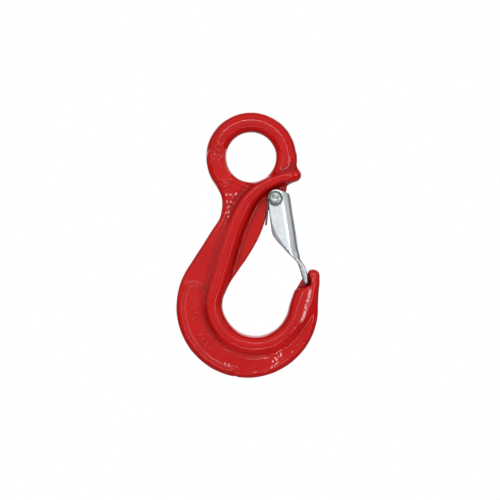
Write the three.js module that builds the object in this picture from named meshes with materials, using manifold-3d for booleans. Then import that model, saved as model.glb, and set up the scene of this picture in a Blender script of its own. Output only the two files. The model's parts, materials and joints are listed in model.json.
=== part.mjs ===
// Eye sling hook with a sprung safety latch. Millimetres, +Z up, origin at the centre of the eye.
// +X runs from the neck to the hook's tip, -Y is the near face, and the forging's parting plane is y = 0.
// Outlines are drawn in the XZ plane.
import * as THREE from "three";
import { mergeVertices } from "three/addons/utils/BufferGeometryUtils.js";
import Module from "manifold-3d";

const wasm = await Module();
wasm.setup();

// ---- Driving dimensions ----
const EYE = { x: 0, z: 0, radius: 23.5, hole: 12.9, half: 5.6, padHalf: 5.8 };
const BOWL = { x: 2.3, z: -76.1, radius: 17.25 };
const BACK = { x: -2.0, z: -78.1, radius: 37.1 };
const NOSE = { x: 32.2, z: -62.1, radius: 3.6 };
const PIVOT = { x: 12.5, z: -21.8 };

const PLATE = { half: 5.5, round: 3.0 };
const BEAD = { half: 8.0, width: 4.5 };
const WEB = { half: 2.75, round: 0.8, hole: 2.6 };
const LIP = { half: 2.5, round: 0.5 };
const RECESS_RADIUS = 48.9;

// Centre line of the bead from the ledge over the latch down the throat, before it follows the bowl.
const BEAD_LINE = [
  [14.0, -11.9],
  [6.0, -15.8],
  [-0.3, -21.4],
  [-5.3, -29.8],
  [-9.6, -40.5],
  [-13.6, -53.8],
  [-17.2, -66.0],
];
const LEDGE_Z = -9.9;
// Cutting tools reach this far past the parting plane, well clear of both faces.
const CUTTER_HALF = 20;
const FAR_X = 60;

const LATCH = { lean: 8.7, half: 7.6, sheet: 1.6, spine: 8.05, crown: 0.4, bend: 3.0, hole: 2.6 };
const TONGUE = { half: 6.2, slotHalf: 2.8, slotTop: -61.8 };
const RIVET = { shank: 2.3, head: 3.8, headHeight: 1.9, tail: 3.3, tailHeight: 1.5, rim: 0.4, gap: 0.3 };
const SPRING = { wire: 0.5, coil: 3.35, startY: 3.5, pitch: 1.12, bridgeX: 7.75, bridgeZ: -35.2 };
const SPRING_LEG = { length: 15, spread: 6.2, bend: 0.9 };

const STEEL_PAINT = new THREE.MeshStandardMaterial({ color: 0xc12121, roughness: 0.35, metalness: 0 });
const ZINC = new THREE.MeshStandardMaterial({ color: 0xdde4ea, roughness: 0.3, metalness: 0.9 });
const RIVET_STEEL = new THREE.MeshStandardMaterial({ color: 0xaab4b0, roughness: 0.35, metalness: 0.95 });
const SPRING_STEEL = new THREE.MeshStandardMaterial({ color: 0x55565a, roughness: 0.4, metalness: 0.9 });

// ---- Outline helpers ----
const radians = THREE.MathUtils.degToRad;
const at = (x, z) => new THREE.Vector2(x, z);

function onCircle(circle, radius, degrees) {
  return at(
    circle.x + radius * Math.cos(radians(degrees)),
    circle.z + radius * Math.sin(radians(degrees)),
  );
}

function arc(circle, radius, fromDegrees, toDegrees, steps) {
  const points = [];
  for (let i = 0; i <= steps; i++) {
    const share = i / steps;
    points.push(onCircle(circle, radius, fromDegrees + (toDegrees - fromDegrees) * share));
  }
  return points;
}

function spline(points, steps) {
  return new THREE.SplineCurve(points).getPoints(steps);
}

// ---- Solid helpers ----
function solid(geometry) {
  const bare = geometry.clone();
  bare.deleteAttribute("normal");
  bare.deleteAttribute("uv");
  const merged = mergeVertices(bare, 1e-4);
  return new wasm.Manifold(
    new wasm.Mesh({
      numProp: 3,
      vertProperties: merged.attributes.position.array,
      triVerts: new Uint32Array(merged.index.array),
    }),
  );
}

function toMesh(name, body, material) {
  const made = body.getMesh();
  const geometry = new THREE.BufferGeometry();
  geometry.setAttribute("position", new THREE.BufferAttribute(made.vertProperties, 3));
  geometry.setIndex(new THREE.BufferAttribute(made.triVerts, 1));
  geometry.computeVertexNormals();
  const mesh = new THREE.Mesh(geometry, material);
  mesh.name = name;
  return mesh;
}

// A plate centred on y = 0 with the given outline, its edges rounded over.
function plate(points, half, round = 0) {
  const geometry = new THREE.ExtrudeGeometry(new THREE.Shape(points), {
    depth: 2 * (half - round),
    bevelEnabled: round > 0,
    bevelThickness: round,
    bevelSize: round,
    bevelOffset: -round,
    bevelSegments: 2,
  });
  geometry.translate(0, 0, round - half);
  geometry.rotateX(Math.PI / 2);
  return solid(geometry);
}

// A round bar along Y through a point of the XZ plane.
function bar(centre, radius, halfLength) {
  const geometry = new THREE.CylinderGeometry(radius, radius, 2 * halfLength, 56);
  geometry.translate(centre.x, 0, centre.z);
  return solid(geometry);
}

// Joins rings of points, all of the same count, into one closed skin with flat ends.
function skin(rings) {
  const count = rings[0].length;
  const positions = [];
  const triangles = [];
  rings.flat().forEach((p) => positions.push(p.x, p.y, p.z));
  for (let r = 0; r + 1 < rings.length; r++) {
    for (let i = 0; i < count; i++) {
      const a = r * count + i;
      const b = r * count + ((i + 1) % count);
      triangles.push(a, b, b + count, a, b + count, a + count);
    }
  }
  [rings[0], rings[rings.length - 1]].forEach((ring, end) => {
    const centre = positions.length / 3;
    const middle = ring.reduce((sum, p) => sum.add(p), new THREE.Vector3()).divideScalar(count);
    positions.push(middle.x, middle.y, middle.z);
    const first = end ? (rings.length - 1) * count : 0;
    for (let i = 0; i < count; i++) {
      const a = first + i;
      const b = first + ((i + 1) % count);
      triangles.push(...(end ? [a, b, centre] : [b, a, centre]));
    }
  });
  const geometry = new THREE.BufferGeometry();
  geometry.setAttribute("position", new THREE.Float32BufferAttribute(positions, 3));
  geometry.setIndex(triangles);
  return solid(geometry);
}

// ---- Hook forging ----
const beadLine = BEAD_LINE.map(([x, z]) => at(x, z));

// Stations of the bead, from the ledge over the latch down the throat and round the bowl to the nose.
// Each station: x, z, half width in the XZ plane, half thickness in Y.
function beadStations() {
  const inBowl = (degrees, offset, width, half) => {
    const p = onCircle(BOWL, BOWL.radius + offset, degrees);
    return [p.x, p.y, width, half];
  };
  const stations = [
    [25.7, -9.4, 0.4, 1.5],
    [25.0, -9.5, 2.0, 5.2],
    [22.6, LEDGE_Z, 3.1, 7.6],
  ];
  const widths = [3.1, 3.5, 4.1, BEAD.width, BEAD.width, 4.7, 4.6];
  BEAD_LINE.forEach(([x, z], i) => stations.push([x, z, widths[i], BEAD.half]));
  for (let degrees = 182; degrees <= 314; degrees += 22) {
    stations.push(inBowl(degrees, BEAD.width, BEAD.width, BEAD.half));
  }
  stations.push(inBowl(336, 5.2, 5.2, 7.8), inBowl(356, 6.9, 6.2, 7.3));
  stations.push([29.0, -70.6, 5.7, 6.6], [31.6, -65, 4.0, 6.0], [32.2, -61.6, 3.2, 4.6]);
  stations.push([32.3, -59.4, 0.6, 1.2]);
  return stations;
}

function bead() {
  const stations = beadStations();
  const path = new THREE.CatmullRomCurve3(stations.map(([x, z]) => new THREE.Vector3(x, 0, z)));
  const sizes = new THREE.CatmullRomCurve3(stations.map((s) => new THREE.Vector3(s[2], s[3], 0)));
  const steps = 2 * (stations.length - 1);
  const sides = 18;
  const rings = [];
  for (let s = 0; s <= steps; s++) {
    const centre = path.getPoint(s / steps);
    const along = path.getTangent(s / steps);
    const size = sizes.getPoint(s / steps);
    const ring = [];
    for (let i = 0; i < sides; i++) {
      const turn = (2 * Math.PI * i) / sides;
      const across = size.x * Math.cos(turn);
      const x = centre.x + across * along.z;
      const z = centre.z - across * along.x;
      ring.push(new THREE.Vector3(x, size.y * Math.sin(turn), z));
    }
    rings.push(ring);
  }
  return skin(rings);
}

// Flat body of the hook: the neck, the back, the bowl's outer band and the tip.
function bodyPlate() {
  const neckEdge = [
    at(-17.6, -16.1),
    at(-15.5, -20.8),
    at(-15.1, -25.6),
    at(-16.4, -31.9),
    at(-19.8, -37.2),
  ];
  const outline = [
    ...arc(EYE, EYE.hole + 0.5, 262, 172, 8),
    ...arc(EYE, EYE.radius - 0.6, 172, 208, 4),
    ...spline(neckEdge, 12),
    ...arc(BACK, BACK.radius, 150, 358, 48),
    ...spline([at(34.7, -73), at(34.9, -67.5), at(35.7, -63)], 5),
    ...arc(NOSE, NOSE.radius, 5, 185, 12),
    ...spline([at(27.4, -63.4), at(24.6, -66.9), at(22.5, -71.6), at(21.6, -76), at(21.2, -81)], 8),
    ...arc(BOWL, BOWL.radius + BEAD.width, 325, 180, 24),
    ...spline(beadLine.slice(2).reverse(), 12),
  ];
  return plate(outline, PLATE.half, PLATE.round);
}

function eyeRing() {
  const middle = (EYE.radius + EYE.hole) / 2;
  const reach = (EYE.radius - EYE.hole) / 2;
  const profile = [];
  const sides = 16;
  for (let i = 0; i <= sides; i++) {
    const turn = (2 * Math.PI * (i % sides)) / sides;
    profile.push(new THREE.Vector2(middle + reach * Math.cos(turn), EYE.half * Math.sin(turn)));
  }
  return solid(new THREE.LatheGeometry(profile, 56));
}

// Raised flat on the neck side of the eye, where such a forging carries its marks.
function eyePad() {
  const outline = [...arc(EYE, EYE.radius - 1.6, 172, 214, 6), ...arc(EYE, EYE.hole + 1.7, 226, 158, 9)];
  return plate(outline, EYE.padHalf, 1.0);
}

// Everything on the throat side of the bead's centre line, for thinning that side to the web.
function throatSide() {
  const outline = [
    at(FAR_X, LEDGE_Z),
    ...spline([at(22.6, LEDGE_Z), ...beadLine.slice(0, 5)], 15),
    ...beadLine.slice(5),
    at(FAR_X, -50),
  ];
  return plate(outline, CUTTER_HALF);
}

// Thin web that fills the angle between the bead and the throat, with the boss for the latch's rivet.
function web() {
  const throatEdge = [
    at(-14.4, -71),
    at(-11.65, -66.3),
    at(-7.3, -60),
    at(-0.8, -50.6),
    at(4.4, -41.2),
    at(6.9, -34.4),
    at(8.4, -27.9),
  ];
  const outline = [
    at(-18, -69),
    ...spline(throatEdge, 16),
    ...arc(PIVOT, 5.15, 255, 360, 9),
    at(17.3, -19.4),
    at(18.3, -17.6),
    at(18.6, -16.9),
    at(18.6, -14.2),
    at(17.5, -11),
    ...beadLine.slice(1, 6),
  ];
  return plate(outline, WEB.half, WEB.round);
}

// Seat for the latch's tongue: the nose is cut back to its floor and keeps a thin lip on the middle plane.
function tongueSeat() {
  const outline = [
    at(27.6, -56),
    at(29.2, -60),
    at(30.4, -63.5),
    at(31, -65.8),
    ...arc(PIVOT, RECESS_RADIUS, 291.8, 280, 6),
    at(17, -67),
  ];
  return plate(outline, CUTTER_HALF);
}

function seatLip() {
  const outline = [
    at(31.6, -62.6),
    at(31.8, -68.4),
    at(25.5, -71.5),
    at(22.9, -70.6),
    at(24.7, -66.7),
    at(26.5, -63.5),
    at(27.2, -62.9),
  ];
  return plate(outline, LIP.half, LIP.round);
}

function hookBody() {
  const webSlab = plate([at(-FAR_X, 10), at(FAR_X, 10), at(FAR_X, -90), at(-FAR_X, -90)], WEB.half);
  const thinSides = throatSide().subtract(webSlab);
  return bodyPlate()
    .add(eyeRing())
    .add(eyePad())
    .subtract(thinSides)
    .add(web())
    .add(bead())
    .subtract(tongueSeat())
    .add(seatLip())
    .subtract(bar(EYE, EYE.hole, CUTTER_HALF))
    .subtract(bar(PIVOT, WEB.hole, CUTTER_HALF));
}

// ---- Latch ----
// Frame of the latch's spine: y across the sheet, b out from the rivet to the spine, t down along the spine.
function alongSpine() {
  const lean = radians(LATCH.lean);
  const frame = new THREE.Matrix4().makeBasis(
    new THREE.Vector3(0, 1, 0),
    new THREE.Vector3(Math.cos(lean), 0, Math.sin(lean)),
    new THREE.Vector3(Math.sin(lean), 0, -Math.cos(lean)),
  );
  return frame.setPosition(PIVOT.x, 0, PIVOT.z);
}

// Bent sheet: a channel with two legs and a crowned spine.
function channel() {
  const legEnd = -6;
  const lengthUp = 5;
  const length = 42;
  const wall = (half, bend, spine) => {
    const corner = { x: half - bend, z: spine - LATCH.crown - bend };
    const side = [at(half, legEnd), ...arc(corner, bend, 0, 84, 5)];
    const crown = [3.2, 0, -3.2].map((y) => at(y, spine - LATCH.crown * (y / half) ** 2));
    return [...side, ...crown, ...side.map((p) => at(-p.x, p.y)).reverse()];
  };
  const outer = wall(LATCH.half, LATCH.bend, LATCH.spine);
  const inner = wall(LATCH.half - LATCH.sheet, LATCH.bend - LATCH.sheet, LATCH.spine - LATCH.sheet);
  const shape = new THREE.Shape([...outer, ...inner.reverse()]);
  const geometry = new THREE.ExtrudeGeometry(shape, { depth: length, bevelEnabled: false });
  geometry.translate(0, 0, -lengthUp);
  geometry.applyMatrix4(alongSpine());
  return solid(geometry);
}

// What the sheet is trimmed to, seen from the side.
function latchOutline() {
  return [
    ...arc({ x: PIVOT.x + 0.6, z: PIVOT.z + 0.35 }, 4.4, 188, 72, 10),
    at(17.8, -18.5),
    at(19.2, -18.9),
    at(20.1, -19.5),
    at(20.6, -20.6),
    at(24, -24),
    at(27.2, -54.6),
    at(25.6, -55.2),
    at(23.7, -54.2),
    at(20.1, -50.9),
    ...spline([at(13.0, -43.1), at(11.5, -41.1), at(10.9, -39.4), at(10.6, -37.2)], 6),
    at(9.75, -30.2),
  ];
}

// End of the spine that rests in the nose's seat, forked over the seat's lip.
function tongue() {
  const bowlSide = [at(23.3, -50), at(24.0, -54), at(25.1, -57.6), at(26.4, -61.8), at(27.3, -65)];
  const noseSide = [
    at(29.5, -65.2),
    at(29.3, -62.4),
    at(28.8, -59.6),
    at(28.0, -57.1),
    at(26.4, -54.2),
    at(24.8, -50),
  ];
  const outline = [
    ...spline(bowlSide, 8),
    at(28, -66.2),
    at(28.6, -66.5),
    at(29.1, -66.2),
    ...spline(noseSide, 8),
  ];
  const slot = new THREE.BoxGeometry(CUTTER_HALF, 2 * TONGUE.slotHalf, CUTTER_HALF);
  slot.translate(NOSE.x, 0, TONGUE.slotTop - CUTTER_HALF / 2);
  return plate(outline, TONGUE.half).subtract(solid(slot));
}

function latch() {
  return channel()
    .intersect(plate(latchOutline(), CUTTER_HALF))
    .add(tongue())
    .subtract(bar(PIVOT, LATCH.hole, CUTTER_HALF));
}

// ---- Rivet ----
function rivet() {
  const seat = LATCH.half + RIVET.gap;
  const dome = (radius, height, side) => {
    const points = [];
    for (let i = 0; i <= 4; i++) {
      const turn = (Math.PI / 2) * (i / 4);
      const y = seat + RIVET.rim + (height - RIVET.rim) * Math.sin(turn);
      points.push(new THREE.Vector2(radius * Math.cos(turn), side * y));
    }
    points[4].x = 0;
    return points;
  };
  const profile = [
    ...dome(RIVET.head, RIVET.headHeight, -1).reverse(),
    new THREE.Vector2(RIVET.head, -seat),
    new THREE.Vector2(RIVET.shank, -seat),
    new THREE.Vector2(RIVET.shank, seat),
    new THREE.Vector2(RIVET.tail, seat),
    ...dome(RIVET.tail, RIVET.tailHeight, 1),
  ];
  const geometry = new THREE.LatheGeometry(profile, 28);
  geometry.translate(PIVOT.x, 0, PIVOT.z);
  return solid(geometry);
}

// ---- Spring ----
// Double torsion spring of one wire: a bridge across the web's throat edge, a coil on each side of
// the web round the rivet, and a free leg from each coil that presses on the inside of the latch's spine.
function springWire() {
  const bridge = at(SPRING.bridgeX, SPRING.bridgeZ);
  const toBridge = at(bridge.x - PIVOT.x, bridge.y - PIVOT.z);
  const reach = toBridge.length();
  const first = THREE.MathUtils.radToDeg(toBridge.angle() - Math.acos(SPRING.coil / reach));
  const last = LATCH.lean + SPRING_LEG.spread;
  const turns = 360 + first - last;
  const steps = 22;
  const half = [];
  half.push(new THREE.Vector3(bridge.x, SPRING.startY - SPRING_LEG.bend, bridge.y));
  const firstPoint = onCircle(PIVOT, SPRING.coil, first);
  for (const share of [0.07, 0.3, 0.55, 0.8]) {
    const p = bridge.clone().lerp(firstPoint, share);
    half.push(new THREE.Vector3(p.x, SPRING.startY, p.y));
  }
  for (let i = 0; i <= steps; i++) {
    const p = onCircle(PIVOT, SPRING.coil, first - (turns * i) / steps);
    half.push(new THREE.Vector3(p.x, SPRING.startY + (SPRING.pitch * turns * i) / steps / 360, p.y));
  }
  const end = half[half.length - 1];
  const down = new THREE.Vector3(Math.sin(radians(last)), 0, -Math.cos(radians(last)));
  for (const share of [0.25, 0.5, 0.75, 1]) {
    half.push(end.clone().addScaledVector(down, SPRING_LEG.length * share));
  }
  const mirrored = half.map((p) => new THREE.Vector3(p.x, -p.y, p.z)).reverse();
  return [...mirrored, ...half];
}

function spring() {
  const points = springWire();
  const sides = 7;
  const rings = points.map((p, i) => {
    const before = points[Math.max(i - 1, 0)];
    const after = points[Math.min(i + 1, points.length - 1)];
    const along = after.clone().sub(before).normalize();
    const outward = new THREE.Vector3(p.x - PIVOT.x, 0, p.z - PIVOT.z);
    const normal = outward.addScaledVector(along, -outward.dot(along)).normalize();
    const side = along.clone().cross(normal);
    return Array.from({ length: sides }, (_, k) => {
      const turn = (2 * Math.PI * k) / sides;
      return p
        .clone()
        .addScaledVector(normal, SPRING.wire * Math.cos(turn))
        .addScaledVector(side, SPRING.wire * Math.sin(turn));
    });
  });
  return skin(rings);
}

// ---- Assembly ----
const hook = new THREE.Group();
hook.add(toMesh("hook_body", hookBody(), STEEL_PAINT));
hook.add(toMesh("latch", latch(), ZINC));
hook.add(toMesh("latch_rivet", rivet(), RIVET_STEEL));
hook.add(toMesh("latch_spring", spring(), SPRING_STEEL));

export default hook;
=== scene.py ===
"""Looks of an eye sling hook with a safety latch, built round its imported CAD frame.

Lengths here are millimetres in the frame's own axes, and turn into metres where a mesh is made. Lights,
and the textures of materials, are set in metres.
+Z runs up through the eye, +X towards the hook's tip, and -Y is the near face.
"""
import json
import math

import bpy
import numpy as np
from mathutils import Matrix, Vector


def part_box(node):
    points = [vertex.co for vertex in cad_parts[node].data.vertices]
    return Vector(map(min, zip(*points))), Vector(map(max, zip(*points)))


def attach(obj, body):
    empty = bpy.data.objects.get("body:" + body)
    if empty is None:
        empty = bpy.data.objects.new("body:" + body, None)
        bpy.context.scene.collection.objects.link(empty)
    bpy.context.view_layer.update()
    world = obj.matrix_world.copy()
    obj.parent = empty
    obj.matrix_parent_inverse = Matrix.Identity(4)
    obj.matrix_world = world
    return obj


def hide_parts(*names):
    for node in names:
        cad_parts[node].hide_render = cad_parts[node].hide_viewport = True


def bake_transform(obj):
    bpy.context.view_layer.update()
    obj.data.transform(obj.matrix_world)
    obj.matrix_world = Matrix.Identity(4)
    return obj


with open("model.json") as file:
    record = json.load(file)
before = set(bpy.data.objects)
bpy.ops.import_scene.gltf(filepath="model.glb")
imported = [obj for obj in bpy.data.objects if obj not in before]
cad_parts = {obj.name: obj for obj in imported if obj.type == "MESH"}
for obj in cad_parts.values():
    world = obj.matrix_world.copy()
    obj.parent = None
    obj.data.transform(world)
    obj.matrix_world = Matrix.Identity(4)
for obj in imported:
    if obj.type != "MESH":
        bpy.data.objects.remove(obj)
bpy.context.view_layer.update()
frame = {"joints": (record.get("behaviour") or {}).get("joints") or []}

import openvdb
from mathutils import Matrix, Vector

MM = 0.001


# ---- Camera: level with the hook and straight at its near face ----
def make_camera():
    distance = 720.0
    width_shown = 261.4
    across, height = -0.6, -48.5
    data = bpy.data.cameras.new("camera")
    data.sensor_width = 36.0
    data.lens = data.sensor_width * distance / width_shown
    data.clip_end = 50.0
    camera = bpy.data.objects.new("camera", data)
    bpy.context.scene.collection.objects.link(camera)
    camera.location = (across * MM, -distance * MM, height * MM)
    camera.rotation_euler = (math.pi / 2, 0, 0)
    bpy.context.scene.camera = camera


make_camera()


# ---- Places and sizes ----
body_low, body_high = (np.array(corner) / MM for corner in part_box("hook_body"))
latch_low, latch_high = (np.array(corner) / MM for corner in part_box("latch"))
rivet_low, rivet_high = (np.array(corner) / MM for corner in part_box("latch_rivet"))
hinge_place = np.array(frame["joints"][0]["pos_m"]) / MM

PIVOT = (hinge_place[0], hinge_place[2])
EYE = (0.0, 0.0)
EYE_RADIUS = body_high[2]
EYE_HOLE = 12.9
EYE_CREST = 17.6
EYE_HALF = 5.6
BOWL = (2.3, -76.1)
BOWL_RADIUS = 17.25
BACK_RADIUS = 37.1
BACK = (body_low[0] + BACK_RADIUS, body_low[2] + BACK_RADIUS)
NOSE_RADIUS = 3.6
NOSE = (body_high[0] - NOSE_RADIUS, -62.1)
BEAD_HALF = 7.85
PLATE_HALF = 5.5
PLATE_ROUND = 2.7
WEB_HALF = 2.75
PAD_HALF = 5.75
GUSSET_HALF = 4.1
LIP_HALF = 2.5
SEAT_RADIUS = 48.3
PIN_HOLE = 2.6

# Heights and depths of the forging's surface detail.
FLASH_HEIGHT = 0.2
NECK_DEPTH = 0.65
PAD_RIDGE = 0.4
RING_RIDGE = 0.22
FOOT_GROOVE = 0.3
FRAME_LINE = 0.85
INNER_FRAME_LINE = 0.6
BOWL_LINE = 0.4
RIM_LINE = 0.5
LINE_WIDTH = 0.5
PIT_DEPTH = 0.16
# Share of pale flecks along the tip's crest: worn paint, and painted glints.
CREST_WEAR_AND_GLINT = 0.85

# How far each mark's top stands from the middle plane.
MARK_TOP = 5.8
SHORT_MARK_TOP = 5.75
NECK_MARK_TOP = 5.2
PAD_MARK_TOP = 6.0
WAVE_HEIGHT = 0.035

LATCH_LEAN = math.radians(8.7)
LATCH_HALF = latch_high[1]
SHEET = 1.6
SPINE = 8.05
SPINE_CROWN = 0.4
SPINE_BEND = 5.6
INNER_BEND = SPINE_BEND - SHEET
TONGUE_HALF = 6.2
TONGUE_ROUND = 1.15
TONGUE_CORNER = 2.0
CORNER_Y = 4.4
CORNER_Z = -64.4
SLOT_HALF = 2.8
SLOT_TOP = -61.8
EDGE_SLOPE = 0.5

WIRE = 0.5
COIL = 3.35
WIRE_START = 3.5
WIRE_PITCH = 1.12
BRIDGE = (7.75, -35.2)
BRIDGE_BEND = 0.9
FREE_LEG = 15.0
FREE_LEG_SPREAD = 1.0

AIM = (0.0, 0.0, -0.046)

HOOK_VOXEL = 0.45
LATCH_VOXEL = 0.22


# ---- Outlines in the XZ plane ----
def arc(centre, radius, start, end, steps):
    turn = np.radians(np.linspace(start, end, steps + 1))
    return np.column_stack((centre[0] + radius * np.cos(turn), centre[1] + radius * np.sin(turn)))


def spline(points, steps):
    """Smooth curve through the points, given one row each, in any number of columns."""
    p = np.asarray(points, float)
    p = np.vstack((2 * p[0] - p[1], p, 2 * p[-1] - p[-2]))
    t = np.linspace(0, len(p) - 3, steps + 1)
    i = np.minimum(t.astype(int), len(p) - 4)
    f = (t - i)[:, None]
    a, b, c, d = p[i], p[i + 1], p[i + 2], p[i + 3]
    return 0.5 * (2 * b + (c - a) * f + (2 * a - 5 * b + 4 * c - d) * f**2 + (3 * b - a - 3 * c + d) * f**3)


# ---- Distance fields: negative inside a solid, in millimetres ----
class Grid:
    """Regular points between two corners. X, Y and Z broadcast against each other."""

    def __init__(self, low, high, step):
        self.step = step
        self.low = np.asarray(low, float)
        counts = np.ceil((np.asarray(high) - self.low) / step).astype(int) + 1
        axes = [(self.low[i] + step * np.arange(counts[i])).astype(np.float32) for i in range(3)]
        self.X, self.Y, self.Z = np.meshgrid(*axes, indexing="ij", sparse=True)


def to_outline(grid, outline):
    """Distance in the XZ plane to a closed outline."""
    x, z = np.broadcast_arrays(grid.X, grid.Z)
    nearest = np.full(x.shape, 1e9, np.float32)
    inside = np.zeros(x.shape, bool)
    for (ax, az), (bx, bz) in zip(outline, np.roll(outline, -1, axis=0)):
        ex, ez = bx - ax, bz - az
        length = ex * ex + ez * ez
        if length < 1e-9:
            continue
        t = np.clip(((x - ax) * ex + (z - az) * ez) / length, 0, 1)
        nearest = np.minimum(nearest, (x - ax - t * ex) ** 2 + (z - az - t * ez) ** 2)
        if az != bz:
            inside ^= ((az > z) != (bz > z)) & (x < ax + (z - az) * ex / ez)
    return np.where(inside, -1, 1).astype(np.float32) * np.sqrt(nearest)


def along_path(grid, rows):
    """Signed distance in the XZ plane to a path, positive on its left, and the path's other columns there."""
    x, z = np.broadcast_arrays(grid.X, grid.Z)
    nearest = np.full(x.shape, 1e9, np.float32)
    side = np.ones(x.shape, np.float32)
    sizes = np.zeros(x.shape + (rows.shape[1] - 2,), np.float32)
    for a, b in zip(rows, rows[1:]):
        e = b[:2] - a[:2]
        t = np.clip(((x - a[0]) * e[0] + (z - a[1]) * e[1]) / (e @ e), 0, 1)
        gap = (x - a[0] - t * e[0]) ** 2 + (z - a[1] - t * e[1]) ** 2
        closer = gap < nearest
        nearest = np.where(closer, gap, nearest)
        turn = e[0] * (z - a[1]) - e[1] * (x - a[0])
        side = np.where(closer, np.sign(turn), side)
        sizes[closer] = a[2:] + t[closer][:, None] * (b[2:] - a[2:])
    return side * np.sqrt(nearest), sizes


def plate(grid, flat, half, rounding):
    """A plate across Y with a rounded rim, from the distance to its outline."""
    u = flat + rounding
    v = np.abs(grid.Y) - half + rounding
    return np.minimum(np.maximum(u, v), 0) + np.hypot(np.maximum(u, 0), np.maximum(v, 0)) - rounding


def section(across, up, half_width, half_height, power):
    """A bar whose section is a superellipse."""
    a = np.abs(across) / half_width
    b = np.abs(up) / half_height
    value = np.maximum((a**power + b**power) ** (1 / power), 1e-3)
    slope = np.hypot((a / value) ** (power - 1) / half_width, (b / value) ** (power - 1) / half_height)
    return (value - 1) / np.maximum(slope, 1e-3)


def join(a, b, fillet):
    h = np.clip(0.5 + 0.5 * (b - a) / fillet, 0, 1)
    return b + (a - b) * h - fillet * h * (1 - h)


def cut(a, b, fillet):
    return -join(-a, b, fillet)


def step_up(value, low, high):
    t = np.clip((value - low) / (high - low), 0, 1)
    return t * t * (3 - 2 * t)


def bump(value, width):
    return np.exp(-((value / width) ** 2))


def soften(field):
    """Averages each point with its neighbours, which rounds every sharp corner a little."""
    for axis in range(3):
        inner = field.swapaxes(0, axis)
        inner[1:-1] = 0.25 * inner[:-2] + 0.5 * inner[1:-1] + 0.25 * inner[2:]
    return field


# ---- Meshes ----
def new_piece(name, points, faces, material, body=None, nodes=(), traits=None):
    mesh = bpy.data.meshes.new(name)
    mesh.from_pydata((np.asarray(points) * MM).tolist(), [], faces)
    mesh.update()
    for trait, values in (traits or {}).items():
        mesh.attributes.new(trait, "FLOAT", "POINT").data.foreach_set("value", np.asarray(values, np.float32))
    mesh.shade_smooth()
    mesh.materials.append(material)
    piece = bpy.data.objects.new(name, mesh)
    bpy.context.scene.collection.objects.link(piece)
    if body:
        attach(piece, body)
    if nodes:
        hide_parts(*nodes)
    return piece


def skin_of(grid, field):
    """The field's zero surface."""
    volume = openvdb.FloatGrid(3.0)
    volume.copyFromArray(np.ascontiguousarray(np.clip(field, -3, 3), np.float32))
    points, triangles, quads = volume.convertToPolygons(0.0, 0.0)
    return np.asarray(points) * grid.step + grid.low, triangles.tolist() + quads.tolist()


def sample(grid, field, points):
    """The field's value at free points, from the eight grid points around each. It grows outside the grid."""
    free = (points - grid.low) / grid.step
    place = np.clip(free, 0, np.array(field.shape) - 1.001)
    corner = np.floor(place).astype(int)
    f = place - corner
    i, j, k = corner.T
    value = grid.step * np.linalg.norm(free - place, axis=1)
    for a in (0, 1):
        for b in (0, 1):
            for c in (0, 1):
                share = abs(1 - a - f[:, 0]) * abs(1 - b - f[:, 1]) * abs(1 - c - f[:, 2])
                value = value + share * field[i + a, j + b, k + c]
    return value


def hollow_at(grid, field, points):
    """How enclosed each point of the skin is: 0 in the open, towards 1 in a deep corner. The enamel paints
    shade from it.
    """
    slopes = []
    for axis in range(3):
        shift = np.zeros(3)
        shift[axis] = grid.step
        slopes.append(sample(grid, field, points + shift) - sample(grid, field, points - shift))
    normal = np.column_stack(slopes)
    normal /= np.maximum(np.linalg.norm(normal, axis=1), 1e-6)[:, None]
    hidden = 0.0
    for reach in (1.2, 2.4, 4.0, 6.0):
        hidden = hidden + 0.25 * np.clip(1 - sample(grid, field, points + normal * reach) / reach, 0, 1)
    return hidden


def tube(path, radius, sides):
    """Round wire along a path, with rounded ends."""
    path = np.asarray(path, float)
    along = np.gradient(path, axis=0)
    along /= np.linalg.norm(along, axis=1)[:, None]
    lift = np.array((0.0, 1.0, 0.0)) if abs(along[0][1]) < 0.8 else np.array((1.0, 0.0, 0.0))
    rings = []
    for centre, ahead in zip(path, along):
        lift = lift - ahead * (lift @ ahead)
        lift /= np.linalg.norm(lift)
        rings.append((centre, ahead, lift, np.cross(ahead, lift)))
    points = []
    turns = np.linspace(0, 2 * math.pi, sides, endpoint=False)

    def add_ring(ring, size, shift):
        centre, ahead, up, out = ring
        for turn in turns:
            points.append(centre + ahead * shift + size * (up * math.cos(turn) + out * math.sin(turn)))

    caps = [(0.35, 0.94), (0.75, 0.66)]
    for share, size in reversed(caps):
        add_ring(rings[0], radius * size, radius * (caps[0][0] - share) - radius * 0.1)
    for ring in rings[1:-1]:
        add_ring(ring, radius, 0.0)
    for share, size in caps:
        add_ring(rings[-1], radius * size, radius * (share - caps[0][0]) + radius * 0.1)
    count = len(points) // sides
    faces = []
    for r in range(count - 1):
        for i in range(sides):
            j = (i + 1) % sides
            faces.append((r * sides + i, (r + 1) * sides + i, (r + 1) * sides + j, r * sides + j))
    faces.append(tuple(range(sides)))
    faces.append(tuple((count - 1) * sides + i for i in reversed(range(sides))))
    return points, faces


def lathe(profile, sides, centre):
    """Turns a profile of (radius, y) round a Y axis through a point of the XZ plane, closed at both ends."""
    points = [(centre[0], profile[0][1], centre[1])]
    for radius, y in profile[1:-1]:
        for i in range(sides):
            turn = 2 * math.pi * i / sides
            points.append((centre[0] + radius * math.cos(turn), y, centre[1] + radius * math.sin(turn)))
    points.append((centre[0], profile[-1][1], centre[1]))
    rings = len(profile) - 2
    last = len(points) - 1
    faces = []
    for i in range(sides):
        j = (i + 1) % sides
        faces.append((0, 1 + i, 1 + j))
        for r in range(rings - 1):
            a = 1 + r * sides
            faces.append((a + i, a + sides + i, a + sides + j, a + j))
        a = 1 + (rings - 1) * sides
        faces.append((last, a + j, a + i))
    return points, faces


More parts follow.
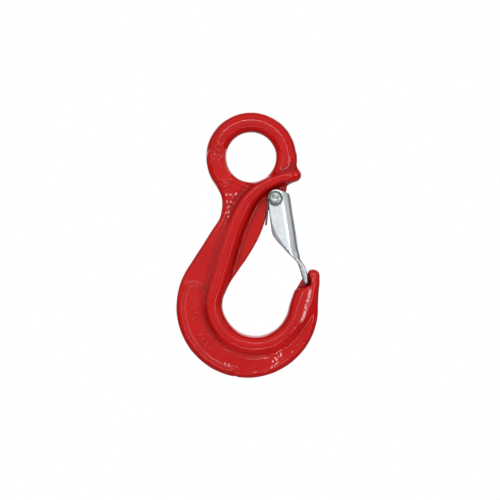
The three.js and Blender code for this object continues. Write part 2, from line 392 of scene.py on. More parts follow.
# ---- Node helper ----
class Nodes:
    """Short names for building a material's node tree."""

    def __init__(self, name):
        self.material = bpy.data.materials.new(name)
        self.material.use_nodes = True
        self.tree = self.material.node_tree
        self.shader = self.tree.nodes["Principled BSDF"]
        self.place = self.add("TexCoord").outputs["Object"]

    def add(self, kind, inputs=None, **settings):
        node = self.tree.nodes.new("ShaderNode" + kind)
        for key, value in settings.items():
            setattr(node, key, value)
        for key, value in (inputs or {}).items():
            self.put(value, node.inputs[key])
        return node

    def put(self, value, socket):
        if isinstance(value, bpy.types.NodeSocket):
            self.tree.links.new(value, socket)
        else:
            socket.default_value = value

    def noise(self, scale, detail=3.0, rough=0.5, distortion=0.0, place=None):
        values = {"Vector": place or self.place, "Scale": scale, "Detail": detail}
        values.update({"Roughness": rough, "Distortion": distortion})
        return self.add("TexNoise", values).outputs["Fac"]

    def stretched(self, x, y, z):
        return self.add("Mapping", {"Vector": self.place, "Scale": (x, y, z)}).outputs["Vector"]

    def span(self, value, low, high, to_low=0.0, to_high=1.0):
        keys = {"Value": value, "From Min": low, "From Max": high, "To Min": to_low, "To Max": to_high}
        return self.add("MapRange", keys).outputs["Result"]

    def mix(self, share, a, b):
        node = self.add("Mix", data_type="RGBA")
        for index, value in ((0, share), (6, a), (7, b)):
            self.put(value, node.inputs[index])
        return node.outputs[2]

    def math(self, operation, a, b=0.5):
        return self.add("Math", {0: a, 1: b}, operation=operation).outputs[0]

    def bump(self, height, strength, distance, onto=None):
        values = {"Height": height, "Strength": strength, "Distance": distance}
        if onto is not None:
            values["Normal"] = onto
        return self.add("Bump", values).outputs["Normal"]

    def pointiness(self):
        return self.add("NewGeometry").outputs["Pointiness"]

    def trait(self, name):
        return self.add("Attribute", attribute_name=name).outputs["Fac"]


def paint_material():
    """Glossy red enamel on forged steel: orange peel over the scale, painted shade in hollows and creases, a
    painted highlight on sharp ridges, and pale flecks that are partly worn paint and partly painted glints.
    """
    n = Nodes("red_enamel")
    s = n.shader.inputs
    patches = n.noise(45, 4, 0.6)
    fine = n.noise(420, 3, 0.6)
    red = n.mix(n.span(patches, 0.35, 0.65), (0.44, 0.0035, 0.003, 1), (0.51, 0.0045, 0.0035, 1))
    red = n.mix(n.span(fine, 0.3, 0.7, 0.0, 0.2), red, (0.48, 0.002, 0.004, 1))
    sharp = n.pointiness()
    # Painted shade: concave creases, found by pointiness, are painted a darker red.
    red = n.mix(n.span(sharp, 0.50, 0.42, 0.0, 0.6), red, (0.22, 0.001, 0.003, 1))
    # Painted highlight: sharp convex ridges are painted a lighter red.
    red = n.mix(n.span(sharp, 0.54, 0.62, 0.0, 0.3), red, (0.70, 0.025, 0.022, 1))
    # Painted shade: the more enclosed a point is (the hollow trait), the nearer to black its red is painted.
    red = n.mix(n.span(n.trait("hollow"), 0.10, 0.48, 0.0, 0.92), red, (0.055, 0.0003, 0.001, 1))
    # Pale pink flecks: partly worn paint, partly painted glints standing in for highlights off the marks and
    # the crest.
    wear_and_glint_flecks = n.math("MULTIPLY", n.trait("wear_and_glint"), n.span(n.noise(800, 3, 0.6), 0.42, 0.53))
    red = n.mix(n.math("MULTIPLY", wear_and_glint_flecks, 0.92), red, (0.86, 0.52, 0.52, 1))
    n.put(red, s["Base Color"])
    rough = n.span(n.noise(300, 4, 0.65), 0.3, 0.7, 0.10, 0.18)
    n.put(rough, s["Roughness"])
    s["IOR"].default_value = 1.33
    scale = n.bump(n.noise(190, 4, 0.58, 0.3), 0.11, 0.0003)
    peel = n.bump(n.noise(900, 2, 0.5), 0.10, 0.0001, scale)
    n.put(peel, s["Normal"])
    return n.material


def zinc_material():
    """Bright zinc plating on rolled sheet: a cool white metal with rolling streaks and a darker grey tongue.
    """
    n = Nodes("zinc_plate")
    s = n.shader.inputs
    cloud = n.noise(110, 4, 0.6)
    streak = n.noise(60, 4, 0.7, place=n.stretched(9, 9, 0.7))
    tone = n.mix(n.span(cloud, 0.3, 0.7), (0.63, 0.68, 0.715, 1), (0.79, 0.825, 0.85, 1))
    tone = n.mix(n.span(streak, 0.45, 0.75, 0.0, 0.35), tone, (0.60, 0.64, 0.68, 1))
    # The tongue is painted a darker grey, broken up by noise.
    tongue_darkening = n.math("MULTIPLY", n.trait("tongue_darker"), n.span(n.noise(420, 3, 0.6), 0.35, 0.6, 0.15, 0.62))
    tone = n.mix(tongue_darkening, tone, (0.30, 0.33, 0.35, 1))
    n.put(tone, s["Base Color"])
    s["Metallic"].default_value = 0.94
    n.put(n.span(streak, 0.3, 0.7, 0.26, 0.40), s["Roughness"])
    fine = n.bump(n.noise(1300, 3, 0.6), 0.18, 0.00008)
    n.put(n.bump(streak, 0.12, 0.0003, fine), s["Normal"])
    return n.material


def rivet_material():
    """Plain steel rivet: blotched grey with a green cast, struck marks, and painted shade in its hollows."""
    n = Nodes("rivet_steel")
    s = n.shader.inputs
    blotch = n.noise(500, 4, 0.65)
    tone = n.mix(n.span(blotch, 0.38, 0.60), (0.09, 0.12, 0.11, 1), (0.43, 0.48, 0.465, 1))
    # Painted shade: concave places, found by pointiness, are painted near black.
    tone = n.mix(n.span(n.pointiness(), 0.50, 0.40, 0.0, 0.7), tone, (0.05, 0.06, 0.06, 1))
    n.put(tone, s["Base Color"])
    s["Metallic"].default_value = 0.95
    n.put(n.span(blotch, 0.3, 0.7, 0.30, 0.45), s["Roughness"])
    struck = n.bump(n.noise(520, 3, 0.6), 0.5, 0.00025)
    n.put(n.bump(n.noise(1500, 3, 0.6), 0.3, 0.0001, struck), s["Normal"])
    return n.material


def wire_material():
    """Spring wire: dark drawn steel with fine lengthwise variation."""
    n = Nodes("spring_wire")
    s = n.shader.inputs
    blotch = n.noise(700, 4, 0.6)
    n.put(n.mix(n.span(blotch, 0.3, 0.7), (0.09, 0.095, 0.10, 1), (0.20, 0.205, 0.215, 1)), s["Base Color"])
    s["Metallic"].default_value = 0.95
    n.put(n.span(blotch, 0.3, 0.7, 0.28, 0.45), s["Roughness"])
    n.put(n.bump(n.noise(2500, 2, 0.5), 0.2, 0.00005), s["Normal"])
    return n.material


# ---- Hook forging ----
NECK_EDGE = [(-17.6, -16.1), (-15.5, -20.8), (-15.1, -25.6), (-16.4, -31.9), (-19.8, -37.2)]
THROAT_EDGE = [
    (-14.4, -71), (-11.65, -66.3), (-7.3, -60), (-0.8, -50.6), (4.4, -41.2), (6.9, -34.4), (8.4, -27.9),
]
BEAD_TOP = [
    (14, -11.9), (6, -15.8), (-0.3, -21.4), (-5.3, -29.8), (-9.6, -40.5), (-13.6, -53.8), (-17.2, -66),
]
GUSSET = [
    (19.5, 3.0), (23.4, 1.5), (23.65, -2.0), (23.6, -4.8), (24.2, -6.9), (24.9, -9.0), (21, -10.5), (17, -8),
]
SEAT_LIP = [
    (31.8, -60.4), (31.8, -68.4), (25.5, -71.5), (22.9, -70.6), (24.7, -66.7), (26.5, -63.5), (27.2, -62.9),
    (29.5, -62.6), (29.7, -60.9),
]


def in_bowl(degrees, offset):
    return tuple(arc(BOWL, BOWL_RADIUS + offset, degrees, degrees, 1)[0])


def bead_path():
    """Centre line of the bead: x, z, half width, half thickness, and the throat side's power."""
    rows = [(22.9, -9.9, 3.0, 6.6, 2.3), (19.5, -10.6, 3.2, 7.6, 2.8)]
    rows += [(x, z, w, BEAD_HALF, 3.0) for (x, z), w in zip(BEAD_TOP, [3.1, 3.5, 4.1, 4.5, 4.5, 4.7, 4.6])]
    rows += [(*in_bowl(a, 4.5), 4.5, BEAD_HALF, 2.5) for a in range(182, 316, 22)]
    rows += [(*in_bowl(336, 5.2), 5.2, 7.7, 2.2), (*in_bowl(356, 6.9), 6.3, 7.2, 2.1)]
    rows += [(29.0, -70.6, 5.7, 6.5, 2.1), (31.6, -65, 4.0, 5.9, 2.1), (32.2, -62.4, 2.7, 4.6, 2.1)]
    return spline(rows, 8 * (len(rows) - 1))


def crest_path():
    """Top of the tip, where scale pits break up the crest and pale flecks stand for worn paint and painted
    glints.
    """
    return spline([(30.7, -69.5, 0), (28.7, -77.0, 0), (26.6, -84.3, 0), (21.8, -90.0, 0)], 24)


def body_outline():
    return np.vstack((
        arc(EYE, EYE_HOLE + 0.5, 262, 172, 16),
        arc(EYE, EYE_RADIUS - 0.9, 172, 206, 8),
        spline(NECK_EDGE, 30),
        arc(BACK, BACK_RADIUS - 0.1, 150, 358, 120),
        spline([(34.8, -74), (34.8, -68), (35.5, -64)], 8),
        arc(NOSE, NOSE_RADIUS - 0.1, 5, 185, 24),
        spline([(27.4, -63.4), (24.6, -66.9), (22.5, -71.6), (21.6, -76), (21.2, -81)], 16),
        arc(BOWL, BOWL_RADIUS + 4.5, 325, 180, 40),
        spline(BEAD_TOP[::-1][:5], 32),
    ))


def throat_side():
    return np.vstack(([(60, -9.9), (22.6, -9.9)], spline(BEAD_TOP, 42), [(60, -50)]))


def web_outline():
    return np.vstack((
        [(-18, -69)],
        spline(THROAT_EDGE, 36),
        arc(PIVOT, 5.15, 255, 360, 20),
        [(17.4, -19.4), (18.2, -18.2), (18.6, -17.2), (18.6, -14.2), (17.5, -11)],
        BEAD_TOP[1:],
    ))


def seat_outline():
    return np.vstack((
        [(27.6, -56), (29.2, -60), (30.4, -63.5), (31, -65.8)],
        arc(PIVOT, SEAT_RADIUS, 291.8, 280, 12),
        [(17, -67)],
    ))


def neck_outline():
    """The hollow of the neck."""
    return np.vstack((
        [(-10.0, -12.0), (-2.5, -15.8), (2.0, -16.5)],
        spline(BEAD_TOP[2:5], 12),
        [(-20, -38)],
        spline(NECK_EDGE[::-1], 10),
    ))


def pad_outline():
    """Flat on the eye's neck side: arched at the top and slanting back at the foot."""
    return np.vstack((
        spline([(-24.0, -1.5), (-22.4, 2.0), (-20.4, 4.9), (-18.0, 6.4), (-15.8, 6.3), (-13.6, 4.4)], 16),
        arc(EYE, 13.6, 162, 224, 14),
        spline([(-10.2, -10.6), (-13.4, -12.3), (-17.2, -13.0), (-19.5, -14.0)], 8),
        arc(EYE, 26, 216, 174, 10),
    ))


def panel_outline():
    """Crescent on the back of the bowl, framed by a double raised line."""
    return np.vstack((
        spline([(-24.6, -69.2), (-26.2, -66.6), (-30.2, -65.0), (-33.6, -66.6), (-35.6, -71.0)], 20),
        arc(BACK, 34.9, 170, 255, 40),
        [(-9.5, -111.2), (-7.6, -110.4)],
        arc(BOWL, 28.6, 252, 178, 30),
    ))


def hook_field(grid):
    x, y, z = grid.X, np.abs(grid.Y), grid.Z
    on_face = step_up(y, 3.0, 4.5)
    radius = np.hypot(x, z)
    turn = np.degrees(np.arctan2(z, x)) % 360

    back_radius = np.hypot(x - BACK[0], z - BACK[1])
    bowl_radius = np.hypot(x - BOWL[0], z - BOWL[1])
    bowl_turn = np.degrees(np.arctan2(z - BOWL[1], x - BOWL[0])) % 360
    bead_off, sizes = along_path(grid, bead_path())
    width, thick, power = sizes[..., 0], sizes[..., 1], sizes[..., 2]

    # The flat body thins towards the tip. Its outline carries a low flash line on the middle plane.
    half = PLATE_HALF - 0.7 * step_up(z, -80, -62) * (x > 15)
    outline = to_outline(grid, body_outline())
    flash = FLASH_HEIGHT * bump(y, 0.55)
    body = plate(grid, outline - flash, half, PLATE_ROUND)

    # Eye: a ring whose section is nearly round, and a little fuller towards the hole.
    crest = radius - EYE_CREST
    outer_half = section(crest, y, EYE_RADIUS - EYE_CREST, EYE_HALF, 2.1)
    inner_half = section(crest, y, EYE_CREST - EYE_HOLE, EYE_HALF, 2.3)
    ring = np.where(crest > 0, outer_half, inner_half) - flash
    # A low ridge follows the hole over the ring's top.
    over_top = step_up(turn, 68, 82) * step_up(turn, 156, 140)
    ring = ring - RING_RIDGE * bump(radius - 15.9, LINE_WIDTH) * over_top * on_face
    body = join(body, ring, 0.9)

    # The ring runs straight down into the ledge at the bead's end.
    gusset = plate(grid, to_outline(grid, np.array(GUSSET)), GUSSET_HALF, 2.8)
    body = join(body, gusset, 2.0)

    # Neck: a shallow hollow between the eye's rim and the bead.
    neck = to_outline(grid, neck_outline())
    body = body + NECK_DEPTH * step_up(-neck, -0.5, 1.4) * step_up(z, -37, -29) * step_up(y, 2.5, 4.0)

    # A flat pad on the eye. A ridge runs round its arch and along its slanting foot.
    flat = to_outline(grid, pad_outline())
    pad = np.maximum(plate(grid, radius - EYE_RADIUS, PAD_HALF, 3.8), plate(grid, flat, PAD_HALF, 1.1))
    body = join(body, pad, 0.35)
    body = body - PAD_RIDGE * bump(flat + 0.5, 0.45) * step_up(radius, 13.9, 15.2) * on_face

    thin = to_outline(grid, throat_side())
    body = cut(body, np.maximum(thin, WEB_HALF - y), 0.8)
    body = join(body, plate(grid, to_outline(grid, web_outline()), WEB_HALF, 1.0), 0.6)

    # The bead's crest lies nearer its back side, where the shoulder is fuller and a groove runs along the
    # foot. Under the bowl the shoulder is wider and rounder.
    lean = width * (0.12 + 0.16 * step_up(z, -55, -80) - 0.13 * step_up(z, -86, -96)) * step_up(x, 22, 14)
    throat_half = section(bead_off + lean, y, width + lean, thick, power)
    low = step_up(bowl_turn, 212, 248) * step_up(bowl_turn, 332, 305)
    back_half = section(bead_off + lean, y, width - lean + 2.3 * low, thick, 3.4 - 1.3 * low)
    bead = np.where(bead_off + lean > 0, throat_half, back_half)
    foot = FOOT_GROOVE * bump(bead_off + width + 1.1, 1.2) * on_face * step_up(z, -14, -24)
    foot = foot * step_up(x, 24, 12)
    fillet = 2.2 + 1.5 * step_up(x, 15, 21) * step_up(z, -16, -12)
    body = join(body + foot, bead, fillet)

    # Raised lines: the crescent's double frame, a fine one along the bowl, and one inside the lower rim.
    panel = to_outline(grid, panel_outline())
    framed = np.maximum(step_up(back_radius, 31, 32), step_up(z, -70.5, -68.5)) * on_face
    lines = FRAME_LINE * bump(panel + 0.2, LINE_WIDTH) + INNER_FRAME_LINE * bump(panel + 2.1, LINE_WIDTH)
    under_bowl = step_up(bowl_turn, 228, 238) * step_up(bowl_turn, 292, 282)
    fine = BOWL_LINE * bump(bowl_radius - 28.3, LINE_WIDTH) * under_bowl
    by_rim = step_up(bowl_turn, 262, 268) * step_up(bowl_turn, 322, 300)
    rim = RIM_LINE * bump(back_radius - 34.6, 0.55) * by_rim
    body = body - lines * framed - (fine + rim) * on_face

    seat = to_outline(grid, seat_outline())
    body = cut(body, seat, 1.6)
    body = join(body, plate(grid, to_outline(grid, np.array(SEAT_LIP)), LIP_HALF, 0.9), 1.4)
    body = cut(body, radius - EYE_HOLE, 0.3)

    # Nick where the trimming die met, at the foot of the back.
    nick = np.abs((x + 8.1) + 0.1 * (z + 114)) - 0.25
    body = cut(body, np.maximum(nick, np.maximum(36.1 - back_radius, z + 105)), 0.4)

    # Scale pits broke up the crest near the tip.
    crest_line, _ = along_path(grid, crest_path())
    pits = np.random.RandomState(7).normal(size=crest_line.shape).astype(np.float32)
    body = body + PIT_DEPTH * pits * bump(crest_line, 1.1) * on_face

    # The die's wear leaves broad, faint waves.
    wave = np.sin(x * 0.55 + 1.3 * np.sin(z * 0.21)) * np.sin(z * 0.47 + 0.9) + np.sin(x * 0.23 - z * 0.31)
    body = body + WAVE_HEIGHT * wave
    body = np.maximum(body, PIN_HOLE - np.hypot(x - PIVOT[0], z - PIVOT[1]))

    # Nothing may reach past the solid's box.
    inset = 0.05
    sides = np.maximum(body_low[0] + inset - x, x - body_high[0] + inset)
    ends = np.maximum(body_low[2] + inset - z, z - body_high[2] + inset)
    return np.maximum(body, np.maximum(np.maximum(sides, ends), y - body_high[1] + 0.03))


def make_hook(material):
    margin = 2.0
    grid = Grid(body_low - margin, body_high + margin, HOOK_VOXEL)
    field = soften(hook_field(grid))
    points, faces = skin_of(grid, field)
    crest = crest_path()[:, :2]
    away = np.min(np.hypot(points[:, :1] - crest[:, 0], points[:, 2:] - crest[:, 1]), axis=1)
    on_crest = step_up(away, 1.0, 0.35) * step_up(points[:, 2], -87, -84) * (np.abs(points[:, 1]) > 3.5)
    # The hollow trait only drives painted shade in the enamel's colour.
    traits = {"hollow": hollow_at(grid, field, points), "wear_and_glint": CREST_WEAR_AND_GLINT * on_crest}
    return new_piece("hook_forging", points, faces, material, "hook", ["hook_body"], traits)


def dash(x, z, angle, length, width, top, side):
    """One raised dash with rounded ends and sloping sides. A dash as long as it is wide is a dot."""
    steps = 7
    points = []
    for size, y in ((1.0, top - 1.0), (1.0, top - 0.24), (0.78, top - 0.08), (0.42, top)):
        for end in (0, 1):
            for turn in np.linspace(-math.pi / 2, math.pi / 2, steps) + end * math.pi:
                u = (length - width) / 2 * (1 - 2 * end) + size * width / 2 * math.cos(turn)
                v = size * width / 2 * math.sin(turn)
                c, s = math.cos(math.radians(angle)), math.sin(math.radians(angle))
                points.append((x + u * c - v * s, side * y, z + u * s + v * c))
    count = 2 * steps
    faces = [tuple(range(count))]
    for r in range(3):
        for i in range(count):
            j = (i + 1) % count
            faces.append((r * count + j, r * count + i, (r + 1) * count + i, (r + 1) * count + j))
    faces.append(tuple(3 * count + i for i in reversed(range(count))))
    if side < 0:
        faces = [tuple(reversed(face)) for face in faces]
    return points, faces


def neck_marks():
    places = [(-12.9, -19.9, 75, 1.7), (-11.1, -19.8, 20, 1.9), (-9.6, -20.3, 100, 2.0)]
    places += [(-7.9, -19.4, 55, 1.9), (-12.5, -23.4, 100, 1.6), (-10.8, -23.8, 60, 2.0)]
    places += [(-9.4, -24.4, 15, 1.3), (-11.7, -26.2, 50, 1.9), (-12.9, -29.3, 40, 1.5)]
    places += [(-11.6, -29.0, 95, 2.2), (-10.3, -29.8, 65, 1.7), (-11.9, -31.2, 20, 1.4)]
    return [(*place, 0.95, NECK_MARK_TOP, 0.6) for place in places]


def crescent_marks():
    """Two groups of long dashes across the crescent, each with a short one at an end."""
    rows = []
    for start, count, middle in ((169.5, 5, 27.7), (210.5, 4, 28.5)):
        for i in range(count):
            degrees = start + 5.6 * i
            x, z = arc(BACK, middle, degrees, degrees, 1)[0]
            rows.append((x, z, degrees, 3.4 - 0.9 * (i % 2), 0.7, MARK_TOP, 0.05))
            x, z = arc(BACK, middle + 1.5 - 2.9 * (i % 2), degrees + 2.2, degrees + 2.2, 1)[0]
            rows.append((x, z, degrees + 90, 1.5, 0.6, SHORT_MARK_TOP, 0.05))
    return rows


def bowl_marks():
    """Marks on the tip's side of the bowl and a few at the foot of the back, their tops flecked pale: worn
    paint and painted glints.
    """
    rows = []
    for i in range(5):
        x, z = 14.8 - 1.0 * i + 1.7 * (i % 2), -100.6 - 2.2 * i
        rows.append((x, z, 20 + 55 * (i % 3), 2.3, 0.9, MARK_TOP, 1.0))
        rows.append((x - 1.5, z - 1.3, 75 - 40 * (i % 2), 1.3, 0.8, SHORT_MARK_TOP, 0.9))
    for degrees in (304, 309, 315, 322):
        x, z = arc(BACK, 32.4 + 0.6 * (degrees % 2), degrees, degrees, 1)[0]
        rows.append((x, z, degrees + 90, 1.1, 0.8, SHORT_MARK_TOP, 0.5))
    for i in range(3):
        rows.append((-13.6 + 1.9 * i, -107.2 - 0.9 * i, 70 - 30 * i, 1.6, 0.8, SHORT_MARK_TOP, 0.6))
    return rows


def pad_marks():
    places = [(-18.3, 3.4, 40, 2.4), (-16.4, 2.9, 110, 2.0), (-18.9, 1.1, 95, 1.8), (-17.2, 0.6, 25, 2.2)]
    places += [(-15.4, 0.2, 70, 2.2), (-19.2, -1.4, 15, 2.4), (-16.8, -2.0, 80, 1.6)]
    return [(*place, 0.8, PAD_MARK_TOP, 0.1) for place in places]


def make_marks(material):
    """Plain raised dashes where a forging carries marks: x, z, angle, length, width, top and the share of
    pale flecks on the top, which stand for worn paint and painted glints.
    """
    points, faces, wear_and_glint = [], [], []
    rows = neck_marks() + crescent_marks() + bowl_marks() + pad_marks()
    for side in (-1, 1):
        for *row, wear_and_glint_share in rows:
            new_points, new_faces = dash(*row, side)
            faces += [tuple(len(points) + i for i in face) for face in new_faces]
            points += new_points
            flecked_above = row[5] - 0.3
            wear_and_glint += [wear_and_glint_share if abs(point[1]) > flecked_above else 0.0 for point in new_points]
    return new_piece("hook_marks", points, faces, material, "hook", traits={"wear_and_glint": wear_and_glint})


# ---- Latch ----
def latch_trim():
    """What the sheet is trimmed to, seen from the side."""
    eye_of_latch = (PIVOT[0] + 0.6, PIVOT[1] + 0.35)
    return np.vstack((
        arc(eye_of_latch, 4.4, 188, 72, 24),
        spline([(17.8, -18.5), (19.2, -18.9), (20.1, -19.5), (20.6, -20.6)], 9),
        [(24, -24), (27.2, -54.6), (25.6, -55.2), (23.7, -54.2), (20.1, -50.9)],
        spline([(13.0, -43.1), (11.5, -41.1), (10.9, -39.4), (10.6, -37.2)], 12),
        [(9.75, -30.2)],
    ))


def coined_edge():
    """Edge the press flattened on the latch's inner side: x, z and the width of the slope along it."""
    return np.array([
        (9.75, -30.2, 0.2), (10.3, -35.0, 1.1), (10.6, -37.2, 1.6), (10.9, -39.4, 2.0), (11.5, -41.1, 2.1),
        (13.0, -43.1, 1.9), (15.3, -45.8, 1.6), (20.1, -50.9, 1.2), (23.7, -54.2, 0.8),
    ])


def tongue_outline():
    return np.vstack((
        spline([(23.3, -50), (24.0, -54), (25.1, -57.6), (26.4, -61.8), (27.3, -65)], 20),
        spline([(28, -66.2), (28.6, -66.5), (29.1, -66.2)], 6),
        spline([(29.5, -65.2), (29.3, -62.4), (28.8, -59.6), (28.0, -57.1), (26.4, -54.2), (24.8, -50)], 20),
    ))


def latch_field(grid):
    x, y, z = grid.X, np.abs(grid.Y), grid.Z
    dx, dz = x - PIVOT[0], z - PIVOT[1]
    out = dx * math.cos(LATCH_LEAN) + dz * math.sin(LATCH_LEAN)
    out = out + SPINE_CROWN * (y / LATCH_HALF) ** 2

    def wall(half, spine, bend):
        u, v = y - half + bend, out - spine + bend
        return np.minimum(np.maximum(u, v), 0) + np.hypot(np.maximum(u, 0), np.maximum(v, 0)) - bend

    outside = wall(LATCH_HALF, SPINE, SPINE_BEND)
    sheet = np.maximum(outside, -wall(LATCH_HALF - SHEET, SPINE - SHEET, INNER_BEND))
    trimmed = cut(sheet, -to_outline(grid, latch_trim()), 0.45)
    from_edge, widths = along_path(grid, coined_edge())
    slope = EDGE_SLOPE * np.clip(widths[..., 0] - np.abs(from_edge), 0, None)
    trimmed = cut(trimmed, LATCH_HALF - slope - y, 0.25)

    # The tongue is the spine carried on: its corners are rounded, and a slot lets it past the nose's lip.
    corner = np.hypot(np.maximum(y - CORNER_Y, 0), np.maximum(CORNER_Z - z, 0)) - TONGUE_CORNER
    slot = np.maximum(y - SLOT_HALF, z - SLOT_TOP)
    tongue = plate(grid, to_outline(grid, tongue_outline()), TONGUE_HALF, TONGUE_ROUND)
    tongue = cut(cut(tongue, -np.maximum(corner, y - TONGUE_HALF), 0.3), slot, 0.5)
    # It flattens out of the spine's round back little by little.
    spare = 0.1 + np.clip(-53 - z, 0, 9)
    tongue = cut(tongue, spare - outside, 1.0)

    body = join(trimmed, tongue, 1.5)
    body = cut(body, np.hypot(dx, dz) - PIN_HOLE, 0.3)
    return np.maximum(body, y - LATCH_HALF + 0.02)


def make_latch(material):
    margin = 1.0
    grid = Grid(latch_low - margin, latch_high + margin, LATCH_VOXEL)
    points, faces = skin_of(grid, soften(latch_field(grid)))
    height = points[:, 2]
    traits = {"tongue_darker": step_up(height, -51.5, -54.5) * step_up(height, -66.2, -65.2)}
    return new_piece("latch_plate", points, faces, material, "latch", ["latch"], traits)


# ---- Rivet ----
def make_rivet(material):
    near_seat, far_seat = -7.9, 7.9
    head = [
        (0.0, 0.30), (0.35, 0.27), (0.7, 0.13), (1.2, 0.03), (1.9, 0.0), (2.5, 0.04), (2.8, 0.14),
        (3.0, 0.36), (3.12, 0.60), (3.35, 0.72), (3.66, 0.86), (3.86, 1.08), (3.94, 1.42),
    ]
    head = [(radius, rivet_low[1] + depth) for radius, depth in head]
    head += [(3.92, near_seat - 0.12), (3.82, near_seat)]
    shank = [(2.4, near_seat), (2.3, near_seat + 0.1), (2.3, far_seat - 0.1), (2.4, far_seat)]
    tail = [(3.15, 0.0), (3.28, 0.12), (3.3, 0.45), (3.1, 0.85), (2.5, 1.2), (1.6, 1.42)]
    tail = [(radius, far_seat + height) for radius, height in tail]
    tail += [(0.9, rivet_high[1]), (0.5, rivet_high[1] - 0.03), (0.0, rivet_high[1] - 0.06)]
    points, faces = lathe(head + shank + tail, 64, PIVOT)
    points = np.array(points)
    # A punch mark on the head, and a tail hammered over so that its rim isn't quite round.
    dent = np.hypot(points[:, 0] - PIVOT[0] - 2.3, points[:, 2] - PIVOT[1] + 0.2)
    points[:, 1] += 0.45 * bump(dent, 0.45) * (points[:, 1] < rivet_low[1] + 0.9)
    around = np.arctan2(points[:, 2] - PIVOT[1], points[:, 0] - PIVOT[0])
    far = points[:, 1] > far_seat - 0.05
    squash = 1 - 0.035 * far * (1 + np.sin(3 * around + 0.6) * np.cos(5 * around))
    points[:, 0] = PIVOT[0] + (points[:, 0] - PIVOT[0]) * squash
    points[:, 2] = PIVOT[1] + (points[:, 2] - PIVOT[1]) * squash
    return new_piece("rivet_pin", points, faces, material, "latch", ["latch_rivet"])


# ---- Spring ----
def wire_half(side):
    """Half of the double spring: from the bridge to a leg, a coil round the rivet, and the free leg."""
    bridge = np.array(BRIDGE)
    pivot = np.array(PIVOT)
    to_bridge = bridge - pivot
    reach = np.hypot(*to_bridge)
    first = math.degrees(math.atan2(to_bridge[1], to_bridge[0])) % 360 - math.degrees(math.acos(COIL / reach))
    last = math.degrees(LATCH_LEAN) + FREE_LEG_SPREAD
    turns = 360 + first - last
    start = pivot + COIL * np.array((math.cos(math.radians(first)), math.sin(math.radians(first))))

    bend = []
    for turn in np.linspace(0, math.pi / 2, 9):
        y = WIRE_START - BRIDGE_BEND * (1 - math.sin(turn))
        ahead = BRIDGE_BEND * (1 - math.cos(turn)) / reach
        place = bridge + (start - bridge) * ahead
        bend.append((place[0], y, place[1]))
    leg = []
    for share in np.linspace(0.12, 0.96, 12):
        place = bridge + (start - bridge) * share
        leg.append((place[0], WIRE_START, place[1]))
    coil = []
    for step in np.linspace(0, 1, 90):
        turn = math.radians(first - turns * step)
        y = WIRE_START + WIRE_PITCH * turns / 360 * step
        coil.append((pivot[0] + COIL * math.cos(turn), y, pivot[1] + COIL * math.sin(turn)))
    down = np.array((math.sin(math.radians(last)), 0, -math.cos(math.radians(last))))
    free = [np.array(coil[-1]) + down * FREE_LEG * share for share in np.linspace(0.05, 1, 14)]
    bridge_bar = [(bridge[0], y, bridge[1]) for y in np.linspace(0, WIRE_START - BRIDGE_BEND - 0.2, 6)]
    path = np.array([*bridge_bar, *bend, *leg, *coil, *free])
    path[:, 1] *= side
    return path


def make_spring(material):
    """Both halves of the double spring, each a round wire tube with its own mesh."""
    for name, side in (("spring_near", -1), ("spring_far", 1)):
        points, faces = tube(wire_half(side), WIRE, 14)
        piece = new_piece(name, points, faces, material, None, ["latch_spring"])
        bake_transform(piece)


# ---- Studio ----
def make_world():
    """White to the camera. Reflections see a room that is lit in front and behind, and dark at both sides.

    Each ramp adds light along one axis: axis, from, to, and the light at either end.
    """
    world = bpy.data.worlds.new("studio")
    bpy.context.scene.world = world
    world.use_nodes = True
    tree = world.node_tree

    def add(kind, **settings):
        node = tree.nodes.new("ShaderNode" + kind)
        for key, value in settings.items():
            setattr(node, key, value)
        return node

    parts = add("SeparateXYZ")
    tree.links.new(add("TexCoord").outputs["Generated"], parts.inputs[0])
    levels = []
    ramps = (
        ("Y", 0.2, -0.08, 0.03, 0.70),
        ("Y", -0.25, -0.75, 0, -0.22),
        ("Y", 0.5, 0.85, 0, 0.7),
        ("Z", -1, 1, 0, 0.06),
    )
    for axis, low, high, dark, bright in ramps:
        level = add("MapRange", interpolation_type="SMOOTHSTEP")
        for name, value in (("From Min", low), ("From Max", high), ("To Min", dark), ("To Max", bright)):
            level.inputs[name].default_value = value
        tree.links.new(parts.outputs[axis], level.inputs["Value"])
        levels.append(level.outputs[0])
    for level in levels[1:]:
        total = add("Math", operation="ADD")
        tree.links.new(levels[0], total.inputs[0])
        tree.links.new(level, total.inputs[1])
        levels[0] = total.outputs[0]
    room = tree.nodes["Background"]
    room.inputs["Color"].default_value = (1, 1, 1, 1)
    tree.links.new(levels[0], room.inputs["Strength"])
    white = add("Background")
    white.inputs["Color"].default_value = (1, 1, 1, 1)
    seen = add("LightPath")
    mix = add("MixShader")
    tree.links.new(seen.outputs["Is Camera Ray"], mix.inputs[0])
    tree.links.new(room.outputs[0], mix.inputs[1])
    tree.links.new(white.outputs[0], mix.inputs[2])
    tree.links.new(mix.outputs[0], tree.nodes["World Output"].inputs["Surface"])
    bpy.context.scene.view_settings.view_transform = "Standard"


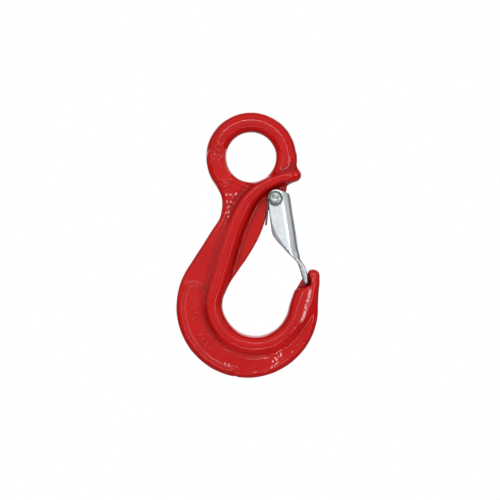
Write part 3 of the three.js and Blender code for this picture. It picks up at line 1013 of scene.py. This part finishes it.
def make_floor():
    """Pale floor well below the hanging hook."""
    reach, height = 12000.0, -760.0
    corners = [(a * reach, b * reach, height) for a, b in ((-1, -1), (1, -1), (1, 1), (-1, 1))]
    n = Nodes("pale_floor")
    n.shader.inputs["Base Color"].default_value = (0.35, 0.35, 0.36, 1)
    n.shader.inputs["Roughness"].default_value = 0.8
    white = n.add("Emission", {"Color": (1, 1, 1, 1)})
    seen = n.add("LightPath")
    mix = n.add("MixShader", {0: seen.outputs["Is Camera Ray"], 1: n.shader.outputs[0], 2: white.outputs[0]})
    n.tree.links.new(mix.outputs[0], n.tree.nodes["Material Output"].inputs["Surface"])
    mesh = bpy.data.meshes.new("floor")
    mesh.from_pydata([tuple(value * MM for value in corner) for corner in corners], [], [(0, 1, 2, 3)])
    mesh.materials.append(n.material)
    floor = bpy.data.objects.new("floor", mesh)
    bpy.context.scene.collection.objects.link(floor)


def area_light(name, place, size, power, across=(1, 0, 0)):
    """Soft box at a place in metres, turned to the middle of the hook, with its width along a direction."""
    data = bpy.data.lights.new(name, "AREA")
    data.shape = "RECTANGLE"
    data.size, data.size_y = size
    data.energy = power
    light = bpy.data.objects.new(name, data)
    light.visible_camera = False
    bpy.context.scene.collection.objects.link(light)
    light.location = place
    back = (Vector(place) - Vector(AIM)).normalized()
    up = back.cross(Vector(across)).normalized()
    light.rotation_euler = Matrix((up.cross(back), up, back)).transposed().to_euler()


def make_lights():
    """A soft front, a broken hoop of narrow lamps round the camera, and two broad lamps behind."""
    area_light("front", (0.0, -1.0, 0.0), (0.8, 0.8), 0.78)
    hoop, ahead = 0.56, -0.95
    upper = {20: 0.8, 55: 1.0, 90: 1.6, 125: 1.2, 160: 0.5}
    lower = {200: 0.35, 235: 0.6, 272: 1.15, 308: 0.75, 344: 0.8}
    for degrees, power in (upper | lower).items():
        turn = math.radians(degrees)
        place = (AIM[0] + hoop * math.cos(turn), ahead, AIM[2] + hoop * math.sin(turn))
        area_light(f"hoop_{degrees}", place, (0.33, 0.08), power, (-math.sin(turn), 0, math.cos(turn)))
    area_light("back", (0.0, 1.1, 0.0), (1.3, 1.3), 2.4)
    area_light("back_top", (0.1, 0.95, 0.7), (0.9, 0.6), 2.6)


enamel = paint_material()
make_hook(enamel)
make_marks(enamel)
make_latch(zinc_material())
make_rivet(rivet_material())
make_spring(wire_material())
make_floor()
make_world()
make_lights()
